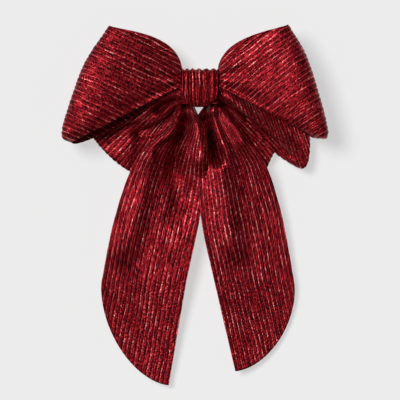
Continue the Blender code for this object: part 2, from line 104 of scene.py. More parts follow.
def sheet_steel(name, colour, smoothest, roughest):
    """Rolled steel sheet: bright metal with fine lines along the strip and patches rubbed dull by use."""
    made, tree, shader = new_material(name)
    place = node(tree, "ShaderNodeTexCoord", {}).outputs["Object"]
    stretch = (1 / ROLLING_LENGTH, 1 / ROLLING_LINE, 1 / ROLLING_LINE)
    drawn = node(tree, "ShaderNodeMapping", {"Vector": place, "Scale": stretch})
    lines = node(tree, "ShaderNodeTexNoise", {"Vector": drawn.outputs[0], "Scale": 1.0, "Detail": 2.0})
    rubs = node(tree, "ShaderNodeTexNoise", {"Vector": place, "Scale": 1 / RUB_SIZE, "Detail": 4.0})
    both = node(tree, "ShaderNodeMath", {0: lines.outputs["Fac"], 1: rubs.outputs["Fac"]}, operation="ADD")
    spread = {"Value": both.outputs[0], "From Min": 0.7, "From Max": 1.3}
    spread.update({"To Min": smoothest, "To Max": roughest})
    tree.links.new(node(tree, "ShaderNodeMapRange", spread).outputs[0], shader.inputs["Roughness"])
    tint = node(tree, "ShaderNodeMix", {0: rubs.outputs["Fac"]}, data_type="RGBA")
    tint.inputs[6].default_value = linear(colour[0])
    tint.inputs[7].default_value = linear(colour[1])
    tree.links.new(tint.outputs[2], shader.inputs["Base Color"])
    relief = {"Height": lines.outputs["Fac"], "Strength": 0.15, "Distance": ROLLING_DEPTH}
    tree.links.new(node(tree, "ShaderNodeBump", relief).outputs[0], shader.inputs["Normal"])
    shader.inputs["Metallic"].default_value = 1.0
    return made


TUMBLED_EDGE = 0.00013
SHARP = math.radians(35)
FLAT = math.radians(1)
SAME_POINT = 0.000001


def tumbled(name, finish, body):
    """A clip piece with its cut edges rounded, in the place of its plain solid."""
    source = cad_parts[name]
    shape = bmesh.new()
    shape.from_mesh(source.data)
    bmesh.ops.remove_doubles(shape, verts=shape.verts, dist=SAME_POINT)
    bmesh.ops.dissolve_limit(shape, angle_limit=FLAT, verts=shape.verts, edges=shape.edges)
    cut = [edge for edge in shape.edges if edge.is_manifold and edge.calc_face_angle() > SHARP]
    bmesh.ops.bevel(
        shape,
        geom=cut,
        offset=TUMBLED_EDGE,
        segments=2,
        profile=0.5,
        affect="EDGES",
        material=-1,
        clamp_overlap=True,
    )
    mesh = bpy.data.meshes.new(name + "_tumbled")
    shape.to_mesh(mesh)
    shape.free()
    mesh.shade_smooth()
    mesh.materials.append(finish)
    made = bpy.data.objects.new(name + "_tumbled", mesh)
    bpy.context.scene.collection.objects.link(made)
    made.modifiers.new("flat faces stay flat", "WEIGHTED_NORMAL")
    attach(made, body)
    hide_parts(name)
    return made


nickel = sheet_steel("nickel plated sheet steel", ("d8d4cc", "b9b5ae"), 0.16, 0.34)
spring = sheet_steel("bare spring steel", ("b6b8bb", "8f9296"), 0.24, 0.42)
for name in ("barrette_plate", "hinge_pin", "strip_rivet", "catch_rivet"):
    tumbled(name, nickel, "bow")
for name in ("tension_strip", "catch_base"):
    tumbled(name, spring, "bow")
tumbled("clasp_arm", nickel, "clasp")
tumbled("upper_catch_tongue", spring, "upper_tongue")
tumbled("lower_catch_tongue", spring, "lower_tongue")


# Felt pad
# A patch of pressed wool felt, cut with rounded corners, between the gathered cloth and the clip's plate.
# It keeps the steel off the cloth, and its cut edge is slightly fuzzy.
def grid_mesh(name, along, across, place):
    """A grid moved to place(share along, share across); gives the mesh and each point's two shares."""
    shape = bmesh.new()
    bmesh.ops.create_grid(shape, x_segments=along, y_segments=across, size=0.5)
    mesh = bpy.data.meshes.new(name)
    shape.to_mesh(mesh)
    shape.free()
    flat = np.zeros(len(mesh.vertices) * 3)
    mesh.vertices.foreach_get("co", flat)
    shares = flat.reshape(-1, 3)[:, :2] + 0.5
    mesh.vertices.foreach_set("co", place(shares[:, 0], shares[:, 1]).ravel())
    mesh.update()
    return mesh, shares[:, 0], shares[:, 1]


def lattice_noise(first, second, seed):
    """Smooth noise from -1 to 1 over two coordinates, from seeded numbers on a square lattice."""
    cells = 97
    table = np.random.default_rng(seed).uniform(-1.0, 1.0, (cells, cells))
    low_first, low_second = np.floor(first).astype(int), np.floor(second).astype(int)
    step_first, step_second = first - low_first, second - low_second
    ease_first = step_first * step_first * (3 - 2 * step_first)
    ease_second = step_second * step_second * (3 - 2 * step_second)

    def corner(one, two):
        return table[(low_first + one) % cells, (low_second + two) % cells]

    near = corner(0, 0) * (1 - ease_first) + corner(1, 0) * ease_first
    far = corner(0, 1) * (1 - ease_first) + corner(1, 1) * ease_first
    return near * (1 - ease_second) + far * ease_second


FELT_LOW, FELT_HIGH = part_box("felt_pad")
FELT_FIBRE = 0.0009
FELT_LUMP = 0.00008
FELT_CORNER = 0.175
FELT_FIT = 0.99
FELT_START = 40
FELT_SEED = 5
FELT_NAP = 0.0003
FELT_SLACK = 0.0002


def felt_place(along, across):
    """A rounded patch: the square grid is pulled in towards its corners, with a lumpy face."""
    side, up = 2 * along - 1, 2 * across - 1
    pull = 1 - FELT_CORNER * (side * up) ** 2
    x = side * pull * FELT_HIGH.x * FELT_FIT
    z = up * pull * FELT_HIGH.z * FELT_FIT
    lumps = FELT_LUMP * lattice_noise(x / FELT_FIBRE + FELT_START, z / FELT_FIBRE + FELT_START, FELT_SEED)
    return np.column_stack([x, (FELT_LOW.y + FELT_HIGH.y) / 2 + lumps, z])


def felt_finish():
    """Pressed wool: matt, matted fibres of uneven red, no gloss."""
    made, tree, shader = new_material("pressed wool felt")
    place = node(tree, "ShaderNodeTexCoord", {}).outputs["Object"]
    fibres = node(tree, "ShaderNodeTexNoise", {"Vector": place, "Scale": 1 / FELT_FIBRE, "Detail": 8.0})
    tint = node(tree, "ShaderNodeMix", {0: fibres.outputs["Fac"]}, data_type="RGBA")
    tint.inputs[6].default_value = linear("3f0a10")
    tint.inputs[7].default_value = linear("8a2630")
    tree.links.new(tint.outputs[2], shader.inputs["Base Color"])
    spread = {"Value": fibres.outputs["Fac"], "To Min": 0.85, "To Max": 1.0}
    tree.links.new(node(tree, "ShaderNodeMapRange", spread).outputs[0], shader.inputs["Roughness"])
    relief = {"Height": fibres.outputs["Fac"], "Strength": 0.6, "Distance": FELT_NAP}
    tree.links.new(node(tree, "ShaderNodeBump", relief).outputs[0], shader.inputs["Normal"])
    shader.inputs["Sheen Weight"].default_value = 0.4
    return made


def link(name, mesh, finish):
    """A smooth shaded object for a finished mesh."""
    mesh.shade_smooth()
    mesh.materials.append(finish)
    made = bpy.data.objects.new(name, mesh)
    bpy.context.scene.collection.objects.link(made)
    return made


def thicken(made, depth):
    """Gives a sheet its thickness, half on each side."""
    thick = made.modifiers.new("cloth thickness", "SOLIDIFY")
    thick.thickness = depth
    thick.offset = 0.0


felt_mesh = grid_mesh("felt_patch", 56, 40, felt_place)[0]
felt_patch = link("felt_patch", felt_mesh, felt_finish())
thicken(felt_patch, FELT_HIGH.y - FELT_LOW.y - FELT_SLACK)
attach(felt_patch, "bow")
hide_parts("felt_pad")


# Threads
# Red two-ply sewing thread. Three turns pinch the middle of each bow ring, and two short stitches hold the
# clip's plate through its four holes.
THREAD = 0.0007
PLY_TWIST = 0.0022
PLY_WAIST = 0.74
THREAD_FIBRE = 0.0003
THREAD_SIDES = 12
THREAD_JOIN = 0.000005
UNLIKE_ANY_PATH = (0.31, 0.17, 0.93)


def twisted_thread(name, path):
    """A two-ply thread along close points: a two-lobed section that turns about the path."""
    path = np.asarray(path, float)
    ahead = np.gradient(path, axis=0)
    ahead /= np.linalg.norm(ahead, axis=1)[:, None]
    length = np.concatenate([[0.0], np.cumsum(np.linalg.norm(np.diff(path, axis=0), axis=1))])
    first = np.cross(ahead, UNLIKE_ANY_PATH)
    first /= np.linalg.norm(first, axis=1)[:, None]
    second = np.cross(ahead, first)
    steps = len(path) - 1

    def place(along, across):
        index = np.rint(along * steps).astype(int)
        turn = 2 * math.pi * across
        lobes = PLY_WAIST + (1 - PLY_WAIST) * np.abs(np.cos(turn - math.pi * length[index] / PLY_TWIST))
        radius = (THREAD / 2 * lobes)[:, None]
        around = np.cos(turn)[:, None] * first[index] + np.sin(turn)[:, None] * second[index]
        return path[index] + radius * around

    mesh = grid_mesh(name, steps, THREAD_SIDES, place)[0]
    shape = bmesh.new()
    shape.from_mesh(mesh)
    bmesh.ops.remove_doubles(shape, verts=shape.verts, dist=THREAD_JOIN)
    bmesh.ops.holes_fill(shape, edges=[edge for edge in shape.edges if edge.is_boundary], sides=0)
    bmesh.ops.recalc_face_normals(shape, faces=shape.faces)
    shape.to_mesh(mesh)
    shape.free()
    made = link(name, mesh, thread_finish)
    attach(made, "bow")
    return made


def thread_material():
    """Mercerised cotton thread: silky, with short pale and dark fibres along it."""
    made, tree, shader = new_material("mercerised cotton thread")
    place = node(tree, "ShaderNodeTexCoord", {}).outputs["Object"]
    fibres = node(tree, "ShaderNodeTexNoise", {"Vector": place, "Scale": 1 / THREAD_FIBRE, "Detail": 3.0})
    tint = node(tree, "ShaderNodeMix", {0: fibres.outputs["Fac"]}, data_type="RGBA")
    tint.inputs[6].default_value = linear("560a14")
    tint.inputs[7].default_value = linear("9c2430")
    tree.links.new(tint.outputs[2], shader.inputs["Base Color"])
    spread = {"Value": fibres.outputs["Fac"], "To Min": 0.45, "To Max": 0.7}
    tree.links.new(node(tree, "ShaderNodeMapRange", spread).outputs[0], shader.inputs["Roughness"])
    shader.inputs["Sheen Weight"].default_value = 0.3
    return made


thread_finish = thread_material()
WINDING_TURNS = 3
TURN_STEPS = 40
WINDING_SQUARENESS = 0.45


def winding(node_name):
    """Three turns of thread round a pinched waist, inside the room that its plain solid takes."""
    low, high = (np.array(corner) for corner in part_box(node_name))
    centre, half = (low + high) / 2, (high - low) / 2 - THREAD / 2
    turns = np.linspace(0.0, WINDING_TURNS, WINDING_TURNS * TURN_STEPS + 1)
    angle = 2 * math.pi * turns
    depth = np.sign(np.cos(angle)) * np.abs(np.cos(angle)) ** WINDING_SQUARENESS
    height = np.sign(np.sin(angle)) * np.abs(np.sin(angle)) ** WINDING_SQUARENESS
    side = 2.0 * turns / WINDING_TURNS - 1.0
    return np.column_stack([side, -depth, height]) * half + centre


for ring_name in ("front", "rear"):
    wound = twisted_thread(ring_name + "_winding", winding(ring_name + "_gathering_thread"))
    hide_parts(ring_name + "_gathering_thread")

STITCH_GAP = 0.0002
STITCH_BEND = 0.6 * THREAD


def stitch(low, high):
    """A staple of thread: out through one hole of the plate, across and back in through the other."""
    left, right = low.x + THREAD / 2, high.x - THREAD / 2
    start, top = low.y + STITCH_GAP, high.y - THREAD / 2
    bend = math.pi / 2 * np.linspace(0.0, 1.0, 7)[1:-1]
    leg = [(left, y) for y in np.linspace(start, top - STITCH_BEND, 10)]
    corner = [(left + STITCH_BEND * (1 - math.cos(b)), top - STITCH_BEND * (1 - math.sin(b))) for b in bend]
    bridge = [(x, top) for x in np.linspace(left + STITCH_BEND, right - STITCH_BEND, 15)]
    other_leg = [(left + right - x, y) for x, y in (leg + corner)[::-1]]
    return [(x, y, 0.0) for x, y in leg + corner + bridge + other_leg]


for side_name in ("left", "right"):
    sewn = twisted_thread(side_name + "_plate_stitch", stitch(*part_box(side_name + "_stitch")))
    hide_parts(side_name + "_stitch")


# Bow rings
# Two wide bands of crinkled ribbed cloth with a metallic yarn, each sewn into a ring and pinched in the
# middle by its thread. The front ring makes the two big loops, the rear one the two lower, puckered loops.
CLOTH = 0.0005
RIB_PITCH = 0.0034
RIB_HEIGHT = 0.0007
HALF_WIDTH = 0.09965
RIBBON_WIDTH = 0.088
KNOT_HALF = 0.01325
BUNDLE_BACK = -0.01727
BUNDLE_FRONT = -0.03027
WAIST_PLEAT = 0.00117
WAIST_PLEATS = 2.5
WAIST_INSET = 0.00084
WAIST_PINCH = 0.0024
LOOP_STEPS = 236
BULGE = 5.0
WAIST_STEPS = 8
RING_ACROSS = 152


def through(points, share):
    """A smooth curve through evenly shared points, read at an array of shares."""
    points = np.asarray(points, float)
    place = np.clip(share, 0.0, 1.0) * (len(points) - 1)
    index = np.minimum(place.astype(int), len(points) - 2)
    step = place - index
    longer = np.concatenate([[2 * points[0] - points[1]], points, [2 * points[-1] - points[-2]]])
    before, here, there, after = (longer[index + shift] for shift in range(4))
    if points.ndim > 1:
        step = step[:, None]
    leaving, arriving = (there - before) / 2, (after - here) / 2
    curve = here * (2 * step**3 - 3 * step**2 + 1) + there * (3 * step**2 - 2 * step**3)
    return curve + leaving * (step**3 - 2 * step**2 + step) + arriving * (step**3 - step**2)


def mix(first, second, share):
    """A value between two others."""
    return first + (second - first) * share


def smooth_step(low, high, value):
    """Runs from 0 at low to 1 at high, level at both ends."""
    share = np.clip((value - low) / (high - low), 0.0, 1.0)
    return share * share * (3 - 2 * share)


CREASE_STEPS = 60
CREASE_FADE = 0.25


class Crease:
    """A fold of the cloth along a path in the front view, in metres; a hollow has a negative height.

    Lean makes it wider on the right hand of someone who goes along the path, and steeper on the left.
    """

    def __init__(self, width, height, lean, path):
        self.width, self.height, self.lean, self.path = width, height, lean, path

    def lift(self, x, z):
        """How far it lifts the cloth at each point; it dies away at the path's far end."""
        shares = np.linspace(0.0, 1.0, CREASE_STEPS)
        line = through(self.path, shares)
        ahead = np.gradient(line, axis=0)
        from_x, from_z = x[:, None] - line[None, :, 0], z[:, None] - line[None, :, 1]
        away = from_x**2 + from_z**2
        nearest = away.argmin(1)
        rows = np.arange(len(x))
        side = ahead[nearest, 0] * from_z[rows, nearest] - ahead[nearest, 1] * from_x[rows, nearest]
        beside = side / np.hypot(*ahead[nearest].T)
        reach = self.width * (1.0 - self.lean * np.tanh(beside / self.width))
        fade = smooth_step(0.0, CREASE_FADE, 1.0 - shares[nearest])
        return self.height * fade * np.exp(-away[rows, nearest] / reach**2)


WANDER_LENGTH = 0.026
SMALL_WANDER_LENGTH = 0.008
BREAK_LENGTH = 0.011
CRINKLE_LENGTH = 0.0055
CREST_SHARPNESS = 2.0
CREST_SHARE = 0.72
CRINKLE_SHARE = 0.36
# These shifts only pick the place on the noise's lattice.
NOISE_START = 50
BREAK_START = 30


def rib_places(ribs, along, waver, seed):
    """Where each point lies across the ribs, counted in ribs that wander a little along their length."""
    long_way, short_way = along / WANDER_LENGTH + NOISE_START, along / SMALL_WANDER_LENGTH + NOISE_START
    wander = lattice_noise(long_way, ribs * 0.24 + NOISE_START, seed)
    wander += 0.4 * lattice_noise(short_way, ribs * 0.55 + NOISE_START, seed + 1)
    return ribs + waver * wander


def rib_relief(place, along, seed):
    """Height from 0 to 1 of the crinkled ribs."""
    crests = (0.5 + 0.5 * np.cos(2 * math.pi * place)) ** CREST_SHARPNESS
    breaks, crinkles = along / BREAK_LENGTH + NOISE_START, along / CRINKLE_LENGTH + NOISE_START
    broken = 0.70 + 0.30 * lattice_noise(np.rint(place) * 0.77 + BREAK_START, breaks, seed + 2)
    crinkle = 0.5 + 0.5 * lattice_noise(crinkles, place * 1.9 + NOISE_START, seed + 3)
    return np.clip(CREST_SHARE * crests * broken + CRINKLE_SHARE * crinkle, 0.0, 1.0)


def ribbed_sheet(name, along_steps, across_steps, shape, ribs, waver, seed, outside):
    """A cloth sheet with raised ribs: ribs(along, across, points) gives rib count, length and strength."""
    mesh, along, across = grid_mesh(name, along_steps, across_steps, shape)
    count = len(mesh.vertices)
    points, normals = np.zeros(count * 3), np.zeros(count * 3)
    mesh.vertices.foreach_get("co", points)
    mesh.vertices.foreach_get("normal", normals)
    points, normals = points.reshape(-1, 3), normals.reshape(-1, 3) * outside
    rib, length, strength = ribs(along, across, points)
    place = rib_places(rib, length, waver, seed)
    relief = rib_relief(place, length, seed)
    points += normals * ((relief - 0.5) * RIB_HEIGHT * strength)[:, None]
    mesh.vertices.foreach_set("co", points.ravel())
    if outside < 0:
        mesh.flip_normals()
    mesh.attributes.new("crest", "FLOAT", "POINT").data.foreach_set("value", relief.astype(np.float32))
    lay = np.column_stack([place, length / RIB_PITCH + seed, strength]).astype(np.float32)
    mesh.attributes.new("rib_lay", "FLOAT_VECTOR", "POINT").data.foreach_set("vector", lay.ravel())
    mesh.update()
    made = link(name, mesh, lame)
    thicken(made, CLOTH)
    return made


# The knit's own stitches are too fine to show, so its streaks and grain are drawn about 1 mm wide.
STREAK_WIDTH = 0.0010625
STREAK_LENGTH = 0.0061818
GRAIN_WIDTH = 0.0013077
GRAIN_LENGTH = 0.0017
KNIT_BUMP = 0.0006


def crinkled_lame():
    """Crinkled knit with a metallic yarn: red, with painted shade between the ribs and painted pink
    highlights broken up along the crests.
    """
    made, tree, shader = new_material("crinkled metallic rib knit")
    crest = node(tree, "ShaderNodeAttribute", {}, attribute_name="crest").outputs["Fac"]
    lay = node(tree, "ShaderNodeAttribute", {}, attribute_name="rib_lay").outputs["Vector"]
    parts = node(tree, "ShaderNodeSeparateXYZ", {"Vector": lay}).outputs
    place, openness = parts[0], parts[2]
    scale = (RIB_PITCH / STREAK_WIDTH, RIB_PITCH / STREAK_LENGTH, 0.0)
    drawn = node(tree, "ShaderNodeMapping", {"Vector": lay, "Scale": scale}).outputs[0]
    texture = {"Vector": drawn, "Scale": 1.0, "Detail": 2.0}
    streaks = node(tree, "ShaderNodeTexNoise", texture).outputs["Fac"]
    scale = (RIB_PITCH / GRAIN_WIDTH, RIB_PITCH / GRAIN_LENGTH, 0.0)
    drawn = node(tree, "ShaderNodeMapping", {"Vector": lay, "Scale": scale}).outputs[0]
    texture = {"Vector": drawn, "Scale": 1.0, "Detail": 1.5}
    grain = node(tree, "ShaderNodeTexNoise", texture).outputs["Fac"]
    angle = {0: place, 1: 4 * math.pi, 2: 0.7}
    turn = node(tree, "ShaderNodeMath", angle, operation="MULTIPLY_ADD").outputs[0]
    swing = node(tree, "ShaderNodeMath", {0: turn}, operation="COSINE").outputs[0]
    half = {0: swing, 1: 0.5, 2: 0.5}
    fine_ribs = node(tree, "ShaderNodeMath", half, operation="MULTIPLY_ADD").outputs[0]
    # Crest height, finer rib lines, grain and streaks add up to one value. The ramp paints its low end as
    # shade between the ribs and its top as pale pink highlights, with the cloth's own reds between.
    tone_shade_and_glint = -1.18
    for layer, share in ((grain, 1.35), (streaks, 0.95), (fine_ribs, 0.20), (crest, 0.84)):
        added = {0: layer, 1: share, 2: tone_shade_and_glint}
        tone_shade_and_glint = node(tree, "ShaderNodeMath", added, operation="MULTIPLY_ADD").outputs[0]
    shade_and_glint_ramp = node(tree, "ShaderNodeValToRGB", {"Fac": tone_shade_and_glint})
    shade_red_glint_stops = ((0.0, "2b0206"), (0.30, "750b16"), (0.60, "a91e2a"), (0.84, "cb5354"), (1.0, "eea59f"))
    bar = shade_and_glint_ramp.color_ramp
    while len(bar.elements) < len(shade_red_glint_stops):
        bar.elements.new(0.5)
    for element, (share, colour) in zip(bar.elements, shade_red_glint_stops):
        element.position = share
        element.color = linear(colour)
    tree.links.new(shade_and_glint_ramp.outputs[0], shader.inputs["Base Color"])
    spread = {"Value": streaks, "From Min": 0.3, "From Max": 0.7, "To Min": 0.62, "To Max": 0.44}
    tree.links.new(node(tree, "ShaderNodeMapRange", spread).outputs[0], shader.inputs["Roughness"])
    raised = node(tree, "ShaderNodeMath", {0: openness, 1: KNIT_BUMP}, operation="MULTIPLY").outputs[0]
    relief = {"Height": tone_shade_and_glint, "Strength": 0.9, "Distance": raised}
    tree.links.new(node(tree, "ShaderNodeBump", relief).outputs[0], shader.inputs["Normal"])
    shader.inputs["Metallic"].default_value = 0.8
    shader.inputs["Specular IOR Level"].default_value = 0.25
    return made


lame = crinkled_lame()


class Loop:
    """One loop of a ring: its fold edge, how its two layers arch and swell, and its folds.

    The edge is in shares of half the bow's width across and of the ribbon's width up, and its depth, rise,
    sag, hang, swell and waves are in shares of the ribbon's width.
    """

    def __init__(self, fold, rise, sag, hang, swell, fold_depth, waves, creases, ribs):
        self.fold = np.array(fold) * (HALF_WIDTH, RIBBON_WIDTH)
        self.rise, self.sag = np.array(rise) * RIBBON_WIDTH, np.array(sag) * RIBBON_WIDTH
        self.hang, self.swell = hang * RIBBON_WIDTH, np.array(swell) * RIBBON_WIDTH
        self.fold_depth = BUNDLE_BACK + np.array(fold_depth) * RIBBON_WIDTH
        self.waves = np.array(waves) * RIBBON_WIDTH
        self.creases, self.ribs = creases, ribs


class Waist:
    """Where a ring passes through the knot: its upper and lower edge and the middles of its two layers."""

    def __init__(self, top, bottom):
        self.top, self.bottom = top, bottom
        self.front = BUNDLE_FRONT + WAIST_PLEAT + WAIST_INSET
        self.back = BUNDLE_BACK - WAIST_PLEAT - WAIST_INSET


def waist_points(waist, across, side, layer):
    """Points inside the knot, where the pleated layers are drawn closer still towards the thread."""
    pinch = np.maximum(0.0, 1.0 - 2.0 * np.abs(side)) * WAIST_PINCH
    height = mix(waist.top - pinch, waist.bottom + pinch, across)
    depth = mix(waist.front + pinch, waist.back - pinch, layer)
    depth = depth + WAIST_PLEAT * np.cos(2 * math.pi * WAIST_PLEATS * across)
    return np.column_stack([side * KNOT_HALF, depth, height])


FOLD_SLOWING = 0.08
DEPTH_EASE = 0.7
WAVE_FADE = 0.8
EDGE_SLACK = 0.35
SWELL_GAIN = 1.3
FOLDS_START = 0.10
FRONT_END = (0.5, 0.42)


def loop_points(loop, waist, turn, across, hand):
    """Points of a loop: turn runs from 0 at the front of the waist, by the fold, to 1 at its back."""
    angle = math.pi * (turn - FOLD_SLOWING * np.sin(2 * math.pi * turn))
    out, layer = np.sin(angle), (1.0 - np.cos(angle)) / 2
    edge = through(loop.fold, across)
    start = waist_points(waist, across, np.full_like(across, hand), layer)
    hump = 4.0 * (np.sqrt(np.maximum(out, 0.0)) - out)
    x = mix(start[:, 0], edge[:, 0], out)
    z = mix(start[:, 2], edge[:, 1], out)
    z += hump * mix(mix(*loop.rise, layer), mix(*loop.sag, layer), across)
    z -= loop.hang * across * 2.0 * np.maximum(0.0, -np.cos(angle)) * out
    y = mix(start[:, 1], through(loop.fold_depth, across), np.maximum(out, 0.0) ** DEPTH_EASE)
    fullness = 1.0 - EDGE_SLACK * (2.0 * across - 1.0) ** 2
    full = out * np.maximum(0.0, 1.0 - out**BULGE) ** (1.0 / BULGE)
    y -= SWELL_GAIN * mix(*loop.swell, layer) * fullness * np.sign(np.cos(angle)) * full
    y += through(loop.waves, across) * (1.0 - layer) * 4.0 * out * (1.0 - out * WAVE_FADE)
    shown = smooth_step(*FRONT_END, turn) * smooth_step(0.0, FOLDS_START, turn)
    for fold in loop.creases:
        y -= shown * fold.lift(x, z)
    return np.column_stack([x, y, z])


RING_WAVER = 0.40


def half_ring(name, waist, loop, hand, seed, nodes):
    """Half of a ring: from the waist's front out through one loop and back behind the waist."""
    steps = LOOP_STEPS + 2 * WAIST_STEPS

    def place(along, across):
        step = along * steps
        turn = np.clip((step - WAIST_STEPS) / LOOP_STEPS, 0.0, 1.0)
        points = loop_points(loop, waist, turn, across, hand)
        for layer, side in ((0.0, step / WAIST_STEPS), (1.0, (steps - step) / WAIST_STEPS)):
            inside = side < 1.0
            points[inside] = waist_points(waist, across[inside], hand * side[inside], layer)
        return points

    made = ribbed_sheet(name, steps, RING_ACROSS, place, loop.ribs, RING_WAVER, seed, hand)
    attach(made, "bow")
    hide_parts(*nodes)
    return made


def travelled(along, across, points):
    """How far each point lies along its own row of the cloth, from the waist's front round the fold."""
    row = np.rint(across * RING_ACROSS)
    order = np.lexsort((along, row))
    rows = points[order].reshape(RING_ACROSS + 1, -1, 3)
    steps = np.linalg.norm(np.diff(rows, axis=1, prepend=rows[:, :1]), axis=2)
    length = np.empty(len(points))
    length[order] = np.cumsum(steps, axis=1).ravel()
    return length


RIB_START = 0.004
RIB_RISE = 0.012


def swept_ribs(near, far):
    """Ribs that cross the front view at one angle beside the knot and another at the fold."""
    near, far = math.tan(math.radians(near)), math.tan(math.radians(far))
    lean = math.cos(math.atan((near + far) / 2))

    def ribs(along, across, points):
        x, z = points[:, 0], points[:, 2]
        reach = np.abs(x)
        climb = near * reach + (far - near) * reach**2 / (2 * HALF_WIDTH)
        strength = smooth_step(0.0, RIB_RISE, reach - KNOT_HALF + RIB_START)
        return (z - climb) * lean / RIB_PITCH, travelled(along, across, points), strength

    return ribs


FAN_LENGTH = 0.050
CLOSED_STRENGTH = 0.15


def fanned_ribs(count):
    """Ribs that run along the band and close up towards the knot."""

    def ribs(along, across, points):
        reach = np.abs(points[:, 0]) - KNOT_HALF
        strength = np.clip(mix(CLOSED_STRENGTH, 1.0, reach / FAN_LENGTH), CLOSED_STRENGTH, 1.0)
        return across * count, travelled(along, across, points), strength

    return ribs


PANEL_LEAN = math.radians(70)
PANEL_CLOSENESS = 1.6
PANEL_EDGE = 0.46
PANEL_STRENGTH = 0.5


def panel_ribs(count):
    """Ribs that stand almost upright on the loop's upper panel and run along the band below it."""
    fan = fanned_ribs(count)

    def ribs(along, across, points):
        place, reach, strength = fan(along, across, points)
        x, z = points[:, 0], points[:, 2]
        upper = (x * math.sin(PANEL_LEAN) + z * math.cos(PANEL_LEAN)) / RIB_PITCH * PANEL_CLOSENESS
        down = x * math.cos(PANEL_LEAN) - z * math.sin(PANEL_LEAN)
        panel = (across < PANEL_EDGE) & (along < 0.5)
        strength = np.where(panel, PANEL_STRENGTH * strength, strength)
        return np.where(panel, upper, place), np.where(panel, down, reach), strength

    return ribs


FRONT_WAIST = Waist(0.010478, 0.0008)
REAR_WAIST = Waist(-0.0014, -0.012822)
FRONT_LEFT = Loop(
    fold=((-0.679, 0.515), (-0.858, 0.206), (-0.958, -0.085), (-1.035, -0.400), (-0.958, -0.470)),
    rise=(0.040, 0.160),
    sag=(0.0, -0.008),
    hang=0.060,
    swell=(0.21, 0.01),
    fold_depth=(-0.13, -0.11, -0.10, -0.09, -0.09),
    waves=(0.0, 0.0),
    creases=(),
    ribs=swept_ribs(29.0, 23.0),
)
FRONT_RIGHT = Loop(
    fold=((0.660, 0.524), (0.790, 0.272), (0.886, -0.050), (0.958, -0.405), (0.860, -0.432)),
    rise=(0.055, 0.145),
    sag=(0.0, 0.080),
    hang=0.030,
    swell=(0.21, 0.01),
    fold_depth=(-0.13, -0.11, -0.10, -0.09, -0.09),
    waves=(0.0, 0.0),
    creases=(),
    ribs=swept_ribs(44.0, 29.0),
)
REAR_LEFT = Loop(
    fold=((-0.845, -0.260), (-0.805, -0.420), (-0.700, -0.565), (-0.560, -0.695), (-0.400, -0.780)),
    rise=(0.090, 0.060),
    sag=(0.040, -0.004),
    hang=0.0,
    swell=(0.0, 0.085),
    fold_depth=(0.09, 0.10, 0.11, 0.12, 0.13),
    waves=(0.030, -0.012, 0.012, -0.010, 0.030, 0.050),
    creases=(
        # upper roll
        Crease(width=0.0044, height=0.0058, lean=0.55, path=(
            (-0.0128, -0.0050), (-0.0233, -0.0078), (-0.0315, -0.0105), (-0.0383, -0.0168),
            (-0.0453, -0.0231), (-0.0550, -0.0245), (-0.0633, -0.0285),
        )),
        # lower roll
        Crease(width=0.0042, height=0.0058, lean=0.55, path=(
            (-0.0128, -0.0098), (-0.0195, -0.0148), (-0.0251, -0.0210), (-0.0300, -0.0231),
            (-0.0450, -0.0320),
        )),
        # hollow between the rolls
        Crease(width=0.0028, height=-0.0120, lean=0.0, path=(
            (-0.0150, -0.0075), (-0.0225, -0.0113), (-0.0285, -0.0155), (-0.0360, -0.0205),
        )),
        # hollow under the lower roll
        Crease(width=0.0040, height=-0.0120, lean=0.0, path=(
            (-0.0150, -0.0150), (-0.0240, -0.0255), (-0.0338, -0.0315), (-0.0428, -0.0345),
            (-0.0540, -0.0375),
        )),
    ),
    ribs=fanned_ribs(19),
)
REAR_RIGHT = Loop(
    fold=(
        (0.790, -0.250), (0.825, -0.480), (0.780, -0.690),
        (0.600, -0.590), (0.565, -0.545), (0.500, -0.690),
    ),
    rise=(0.075, 0.060),
    sag=(0.040, -0.004),
    hang=0.0,
    swell=(0.0, 0.085),
    fold_depth=(0.09, 0.09, 0.08, 0.12, 0.11, 0.12),
    waves=(0.020, 0.0, -0.010, 0.075, 0.010, 0.030),
    creases=(
        # long slanting ridge
        Crease(width=0.0036, height=0.0055, lean=-0.50, path=(
            (0.0141, -0.0077), (0.0319, -0.0173), (0.0467, -0.0299), (0.0600, -0.0396),
            (0.0743, -0.0596),
        )),
        # hollow beside the knot
        Crease(width=0.0030, height=-0.0100, lean=0.0, path=(
            (0.0141, -0.0106), (0.0319, -0.0284), (0.0438, -0.0425),
        )),
        # hollow along the ridge
        Crease(width=0.0021, height=-0.0090, lean=0.0, path=(
            (0.0364, -0.0248), (0.0482, -0.0336), (0.0594, -0.0440), (0.0728, -0.0559),
        )),
    ),
    ribs=panel_ribs(20),
)


front_halves = (("front_left_loop", FRONT_LEFT, -1.0, 11), ("front_right_loop", FRONT_RIGHT, 1.0, 23))
for name, loop, hand, seed in front_halves:
    half = half_ring(name, FRONT_WAIST, loop, hand, seed, ["front_bow_ring"])

rear_halves = (("rear_left_loop", REAR_LEFT, -1.0, 37), ("rear_right_loop", REAR_RIGHT, 1.0, 41))
for name, loop, hand, seed in rear_halves:
    half = half_ring(name, REAR_WAIST, loop, hand, seed, ["rear_bow_ring"])


# Tails
# Two strips of the same cloth with a rounded slanting end. Their pleated tops are sewn together flat behind
# the knot, and the left one lies over the right one.
TAIL_TOP = -0.0090
TAIL_DROP = 0.2235
GATHER_CENTRE = -0.01291
GATHER_PLEAT = 0.0007
SHOULDER = -0.649
END_ROUNDNESS = 1.6
TAIL_DEPTHS = (0.0, -0.0080, -0.0100, -0.0070, -0.0020, 0.0030, 0.0065)
TAIL_STEPS = 150
TAIL_ACROSS = 160
TAIL_RIBS = 18
TAIL_WIDTH = 0.058
TAIL_WAVER = 0.20
NECK_FADE = 1.5


